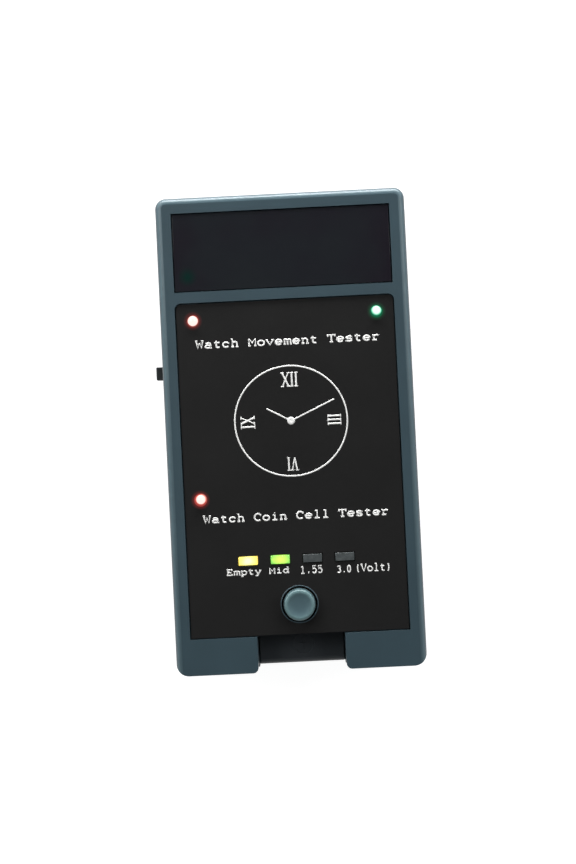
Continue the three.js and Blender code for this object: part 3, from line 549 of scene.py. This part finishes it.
LETTERS = {
    "W": [line((1.2, TOP), (2.9, BASE), (5, 7.4), (7.1, BASE), (8.8, TOP)),
          foot(1.4, 1.2, TOP), foot(8.6, 1.2, TOP)],
    "M": [line((1.5, BASE), (1.5, TOP), (5, 4.6), (8.5, TOP), (8.5, BASE)), foot(1.7, 1.3), foot(8.3, 1.3)],
    "T": [line((1, 8), (1, TOP), (9, TOP), (9, 8)), line((5, TOP), (5, BASE)), foot(5, 1.8)],
    "C": [arc(5.2, 5.55, 4, 4.85, 48, 315), line((8.3, TOP), (8.3, 7.8))],
    "E": [line((2.4, TOP), (2.4, BASE)), line((1, BASE), (8.6, BASE), (8.6, 3)),
          line((1, TOP), (8.2, TOP), (8.2, 8.3)), line((2.4, 5.6), (6.4, 5.6)), line((6.4, 4.6), (6.4, 6.6))],
    "V": [line((1.2, TOP), (5, BASE), (8.8, TOP)), foot(1.5, 1.3, TOP), foot(8.5, 1.3, TOP)],
    "a": [arc(4.8, 5.3, 2.6, 2, 155, 0) + [(7.4, BASE), (9, BASE)], arc(4.5, 2.6, 2.9, 1.9, 0, 360)],
    "c": [arc(5.1, 4, 3.5, 3.3, 45, 320), line((8, MID), (8, 5.2))],
    "d": [bowl(4.6, 3.2), line((6.2, TALL), (7.8, TALL), (7.8, BASE), (9.2, BASE))],
    "e": [arc(5, 4, 3.6, 3.3, 0, 322), line((1.4, 4), (8.6, 4))],
    "h": [line((1, TALL), (2.4, TALL), (2.4, BASE)), arch(2.4, 7.6), foot(2.5), foot(7.6)],
    "i": [line((2.7, MID), (5, MID), (5, BASE)), foot(5, 2.9), line((5, 9.9), (5, 10.9))],
    "l": [line((2.7, TALL), (5, TALL), (5, BASE)), foot(5, 2.9)],
    "m": [line((0.6, MID), (1.6, MID), (1.6, BASE)), arch(1.6, 5.1, 5.7), arch(5.1, 8.6, 5.7),
          foot(1.6, 1), foot(5.2, 0.8), foot(8.8, 1)],
    "n": [line((1, MID), (2.4, MID), (2.4, BASE)), arch(2.4, 7.6), foot(2.5), foot(7.6)],
    "o": [bowl(5)],
    "p": [line((0.8, MID), (2.2, MID), (2.2, LOW)), bowl(5.4, 3.2), foot(2.4, 1.6, LOW)],
    "r": [line((1.4, MID), (3.2, MID), (3.2, BASE)), arc(6.2, 4.6, 3, 2.7, 180, 45), foot(3.9, 2.4)],
    "s": [arc(5, 5.75, 2.9, 1.6, 20, 270), arc(5, 2.4, 3, 1.7, 90, -160),
          line((7.8, MID), (7.8, 5.8)), line((2.1, 2.4), (2.1, BASE))],
    "t": [line((4, 10), (4, 2.6)) + arc(6.2, 2.6, 2.2, 1.9, 180, 315), line((1.7, MID), (7.6, MID))],
    "v": [line((1.5, MID), (5, BASE), (8.5, MID)), foot(1.8, 1.3, MID), foot(8.2, 1.3, MID)],
    "y": [line((1.5, MID), (5.1, BASE)), line((8.5, MID), (4.3, LOW), (1.4, LOW)),
          foot(1.8, 1.3, MID), foot(8.2, 1.3, MID)],
    "1": [line((2.4, 9), (5, 10.8), (5, BASE)), foot(5, 2.9)],
    "3": [arc(4.7, 8.2, 2.8, 2.5, 150, -90), arc(4.7, 3.2, 3.3, 2.5, 90, -150)],
    "5": [line((8, 10.7), (2.7, 10.7), (2.5, 6.2)) + arc(4.9, 4, 3.4, 3.3, 125, -150)],
    "0": [arc(5, 5.7, 3, 5, 0, 360)],
    ".": [line((4.3, 1.1), (5.7, 1.1)), line((4.3, 1.9), (5.7, 1.9))],
    "(": [arc(9.2, 5.2, 4.2, 7, 130, 230)],
    ")": [arc(0.8, 5.2, 4.2, 7, 50, -50)],
}

# Roman numerals for the dial, one unit high, with pen widths as a share of the height.
HEAVY, FINE = 0.13, 0.08
NUMERAL_WIDEN = 1.18
ROMAN_WIDTHS = {"I": 0.24, "V": 0.5, "X": 0.52}


def roman(text):
    """The (points, pen) strokes of a Roman numeral, centred on the origin, with thin feet on every stem."""
    strokes = []
    x = 0.0
    for letter in text:
        width = ROMAN_WIDTHS[letter]
        left, right, centre = x + 0.03, x + width - 0.03, x + width / 2
        if letter == "I":
            strokes.append((line((centre, -0.5), (centre, 0.5)), HEAVY))
            stems = [(centre, 0.5), (centre, -0.5)]
        elif letter == "V":
            strokes.append((line((left + 0.06, 0.5), (centre, -0.5)), HEAVY))
            strokes.append((line((centre, -0.5), (right - 0.06, 0.5)), FINE))
            stems = [(left + 0.06, 0.5), (right - 0.06, 0.5)]
        else:
            strokes.append((line((left + 0.04, 0.5), (right - 0.04, -0.5)), HEAVY))
            strokes.append((line((left + 0.04, -0.5), (right - 0.04, 0.5)), FINE))
            stems = [(left + 0.04, y) for y in (0.5, -0.5)] + [(right - 0.04, y) for y in (0.5, -0.5)]
        strokes += [(line((sx - 0.1, sy), (sx + 0.1, sy)), FINE) for sx, sy in stems]
        x += width + 0.02
    middle_x = (x - 0.02) / 2
    return [([(px - middle_x, py) for px, py in points], pen) for points, pen in strokes]


DIAL_PEN = 0.4
HAND_PEN = 0.38
TITLE_PEN = 0.42
SCALE_PEN = 0.34


class Print:
    """Collects pen strokes, in millimetres on the face, and turns them into one thin layer of ink.

    A stroke as wide as a hand of the dial is as thick as the layer; wider ones stand a little higher.
    """

    def __init__(self, name, level, thickness=0.02):
        self.curve = bpy.data.curves.new(name, "CURVE")
        self.curve.dimensions = "3D"
        self.curve.bevel_depth = 1.0
        self.curve.bevel_resolution = 1
        self.curve.use_fill_caps = True
        self.name, self.level, self.thickness = name, level, thickness

    def stroke(self, points, pen):
        closed = (Vector(points[0]) - Vector(points[-1])).length < SAME_POINT / MM
        points = points[:-1] if closed else points
        spline = self.curve.splines.new("POLY")
        spline.points.add(len(points) - 1)
        spline.use_cyclic_u = closed
        for target, (x, y) in zip(spline.points, points):
            target.co = (x, y, 0, 1)
            target.radius = pen / 2

    def words(self, text, centre_x, baseline, advance, pen, height=1.0):
        unit = advance / 10
        left = centre_x - len(text) * advance / 2
        for i, letter in enumerate(text):
            corner = left + i * advance
            for points in LETTERS.get(letter, []):
                moved = [(corner + px * unit, baseline + (py - BASE) * unit * height) for px, py in points]
                self.stroke(moved, pen)

    def numeral(self, text, centre_x, centre_y, height, turn):
        c, s = math.cos(math.radians(turn)), math.sin(math.radians(turn))
        for points, pen in roman(text):
            wide = [(px * NUMERAL_WIDEN, py) for px, py in points]
            moved = [
                (centre_x + height * (px * c - py * s), centre_y + height * (px * s + py * c))
                for px, py in wide]
            self.stroke(moved, pen * height)

    def finished(self):
        drawn = bpy.data.objects.new(self.name + "_drawn", self.curve)
        bpy.context.scene.collection.objects.link(drawn)
        bpy.context.view_layer.update()
        graph = bpy.context.evaluated_depsgraph_get()
        mesh = bpy.data.meshes.new_from_object(drawn.evaluated_get(graph))
        bpy.data.objects.remove(drawn)
        flat = Matrix.Diagonal((MM, MM, self.thickness * MM / (HAND_PEN / 2), 1))
        mesh.transform(Matrix.Translation((0, 0, self.level)) @ flat)
        mesh.shade_smooth()
        piece = bpy.data.objects.new(self.name, mesh)
        bpy.context.scene.collection.objects.link(piece)
        return piece


def dial(art):
    """A clock dial with four numerals, two hands and a hub."""
    x, y = 0.3, 2.7
    art.stroke(arc(x, y, 14.7, 14.4, 0, 360, step=4), DIAL_PEN)
    art.numeral("XII", x + 0.1, y + 10.8, 3.55, 0)
    art.numeral("III", x + 11.3, y - 0.2, 3.3, -90)
    art.numeral("VI", x - 0.1, y - 11.25, 3.3, 180)
    art.numeral("IX", x - 11.3, y, 3.5, 90)
    for from_top, length in ((-61.0, 7.1), (65.7, 12.6)):
        a = math.radians(90 - from_top)
        art.stroke([(x, y), (x + length * math.cos(a), y + length * math.sin(a))], HAND_PEN)
    hub = 0.52
    art.stroke(arc(x, y, hub, hub, 0, 360), 2 * hub)


def printed_artwork():
    art = Print("printed_artwork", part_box("face_label")[1].z)
    dial(art)
    titles = (("Watch Movement Tester", 22.75, 2.3), ("Watch Coin Cell Tester", -22.9, 2.21))
    for text, baseline, advance in titles:
        art.words(text, 0.35, baseline, advance, TITLE_PEN, 0.84)
    scale = (
        ("Empty", -13.9, -36.8, 1.85, 0.8),
        ("Mid", -4.7, -36.8, 1.8, 0.8),
        ("1.55", 3.7, -37.2, 1.5, 1.25),
        ("3.0", 12.2, -37.4, 1.3, 1.3),
        ("(Volt)", 19.8, -37.4, 1.63, 1.15),
    )
    for text, centre_x, baseline, advance, height in scale:
        art.words(text, centre_x, baseline, advance, SCALE_PEN, height)
    place(art.finished(), "case", "printed_ink", INK)


TRAY_TOP = 17.0 * MM    # floor of the cell tray


def polarity_mark():
    """A plus in a circle, raised a little from the floor of the cell tray."""
    mark = Print("polarity_mark", TRAY_TOP, thickness=0.06)
    x, y, r, arm = 0.65, -56.3, 2.7, 1.5
    mark.stroke(arc(x, y, r, r, 0, 360, step=8), 0.3)
    mark.stroke([(x - arm, y), (x + arm, y)], 0.45)
    mark.stroke([(x, y - arm), (x, y + arm)], 0.45)
    place(mark.finished(), "case", "black_plastic", TRAY_BLACK_PAINTED_LIGHTER)


# ---------- lights ----------
# Core, rim and outer colours, how much of the radius the core fills, and how far off centre it is.
ROUND_LIGHTS = {
    "led_power_red": (linear(255, 244, 236), linear(226, 150, 138), linear(120, 52, 46), 0.84, (0, 0)),
    "led_cell_red": (linear(255, 240, 232), linear(214, 124, 110), linear(158, 66, 60), 0.74, (0.12, 0.15)),
    "led_pulse_green": (linear(244, 255, 250), linear(118, 226, 184), linear(20, 92, 62), 0.64, (0, 0.2)),
}
# Colours of the middle, the body and the ends.
LIT_BARS = {
    "level_led_renew": (linear(255, 253, 208), linear(251, 242, 130), linear(234, 204, 96)),
    "level_led_low": (linear(222, 252, 96), linear(176, 234, 88), linear(112, 176, 78)),
}


def light_pieces():
    for node, (core, rim, outer, filled, (dx, dy)) in ROUND_LIGHTS.items():
        hot = middle(node) + Vector((dx, dy, 0)) * MM
        look = lit_round_look(node + "_glow", hot, LENS_R * MM, core, rim, outer, filled)
        place(refined(node, node + "_lens", 0.08, 2, sharp=50), "case", SLOT_OF[node], look, node)
    for node, colors in LIT_BARS.items():
        look = lit_bar_look(node + "_glow", *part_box(node), *colors)
        place(refined(node, node + "_lens", 0.1), "case", SLOT_OF[node], look, node)
    green = refined("led_demag_green", "led_demag_green_lens", 0.08, 2, sharp=50)
    place(green, "case", "led_green_unlit", GREEN_LENS, "led_demag_green")
    unlit = unlit_bar_look()
    for node in ("level_led_mid", "level_led_full"):
        place(refined(node, node + "_lens", 0.1), "case", SLOT_OF[node], unlit, node)


# ---------- inner parts keep their CAD shape ----------
INNER_LOOKS = {
    "steel": STEEL, "contact_bronze": BRONZE, "copper_wire": WINDING, "ferrite": FERRITE,
    "bobbin_nylon": NYLON, "board_laminate": BOARD, "capacitor_sleeve": SLEEVE, "trimmer_plastic": TRIMMER,
    "battery_jacket": JACKET, "foam_pad": FOAM, "wire_red": RED_WIRE, "wire_black": BLACK_WIRE,
    "black_plastic": BLACK,
}
REPLACED = {
    "front_shell", "rear_shell", "battery_door", "demag_window", "face_label", "cell_tray", "test_button",
    "side_button", "return_spring",
}


def inner_pieces():
    for node, part in NODES.items():
        if node in REPLACED or node.startswith(("led_", "level_led_")):
            continue
        part.data.materials.clear()
        part.data.materials.append(INNER_LOOKS[SLOT_OF[node]])
        part.data.set_sharp_from_angle(angle=math.radians(35))


# ---------- stage ----------
SENSOR_MM = 36.0
LENS_MM = 70.8333333    # a mild long lens, nearly overhead
EYE = Vector((2.90, -8.34, 470.27)) * MM
FORWARD = Vector((-0.0080, 0.0184, -0.9998)).normalized()
UP = Vector((0.0489, 0.9986, 0.0180))


def camera():
    data = bpy.data.cameras.new("camera")
    data.sensor_fit = "AUTO"
    data.sensor_width = SENSOR_MM
    data.lens = LENS_MM
    data.clip_start = 0.01
    eye = bpy.data.objects.new("camera", data)
    bpy.context.scene.collection.objects.link(eye)
    right = FORWARD.cross(UP).normalized()
    up = right.cross(FORWARD).normalized()
    turn = Matrix((right, up, -FORWARD)).transposed().to_4x4()
    eye.matrix_world = Matrix.Translation(EYE) @ turn
    bpy.context.scene.camera = eye


FLOOR_GLOW = 0.92       # the floor is a lit white table, so the part throws hardly any shadow on it
FLOOR_HALF = 2.5
FLOOR_GAP = 0.0002      # keeps the floor clear of the rear face


def floor():
    bm = bmesh.new()
    bmesh.ops.create_grid(bm, x_segments=1, y_segments=1, size=FLOOR_HALF)
    ground = mesh_object("floor", bm, smooth=False)
    ground.location.z = -FLOOR_GAP
    look = Look("floor_white", (0.35, 0.35, 0.35, 1.0), 0.9)
    look.shader.inputs["Specular IOR Level"].default_value = 0.0
    look.shader.inputs["Emission Color"].default_value = (1, 1, 1, 1)
    look.shader.inputs["Emission Strength"].default_value = FLOOR_GLOW
    ground.data.materials.append(look.material)


LIT_POINT = Vector((0, 0, 0.013))       # the middle of the case, where every lamp points


def soft_light(name, at, size, watts):
    data = bpy.data.lights.new(name, "AREA")
    data.shape = "RECTANGLE"
    data.size, data.size_y = size
    data.energy = watts
    lamp = bpy.data.objects.new(name, data)
    lamp.location = at
    lamp.rotation_euler = (LIT_POINT - Vector(at)).to_track_quat("-Z", "Y").to_euler()
    bpy.context.scene.collection.objects.link(lamp)


def studio_world():
    """Dark overhead, where a flat face would mirror it into the camera, and brighter all round."""
    world = bpy.data.worlds.new("studio")
    world.use_nodes = True
    nodes, links = world.node_tree.nodes, world.node_tree.links
    direction = nodes.new("ShaderNodeTexCoord")
    split = nodes.new("ShaderNodeSeparateXYZ")
    ramp = nodes.new("ShaderNodeValToRGB")
    for element, height, level in zip(ramp.color_ramp.elements, (0.7, 0.88), (1, 0.02)):
        element.position = height
        element.color = (level, level, level, 1)
    links.new(direction.outputs["Generated"], split.inputs["Vector"])
    links.new(split.outputs["Z"], ramp.inputs["Fac"])
    links.new(ramp.outputs["Color"], nodes["Background"].inputs["Color"])
    nodes["Background"].inputs["Strength"].default_value = 0.4
    bpy.context.scene.world = world


def lights():
    """A low lamp draws the bright line along the window end; two softer ones fill from the sides."""
    studio_world()
    soft_light("low_window_end_light", (0.0, 0.55, 0.12), (0.7, 0.12), 9.2)
    soft_light("left_light", (-0.45, 0.25, 0.5), (0.3, 0.5), 2.1)
    soft_light("right_light", (0.6, 0.2, 0.6), (0.3, 0.5), 2.0)
    bpy.context.scene.view_settings.view_transform = "Standard"
    bpy.context.scene.view_settings.look = "None"


camera()
floor()
lights()
case_pieces()
button_pieces()
printed_artwork()
polarity_mark()
light_pieces()
inner_pieces()
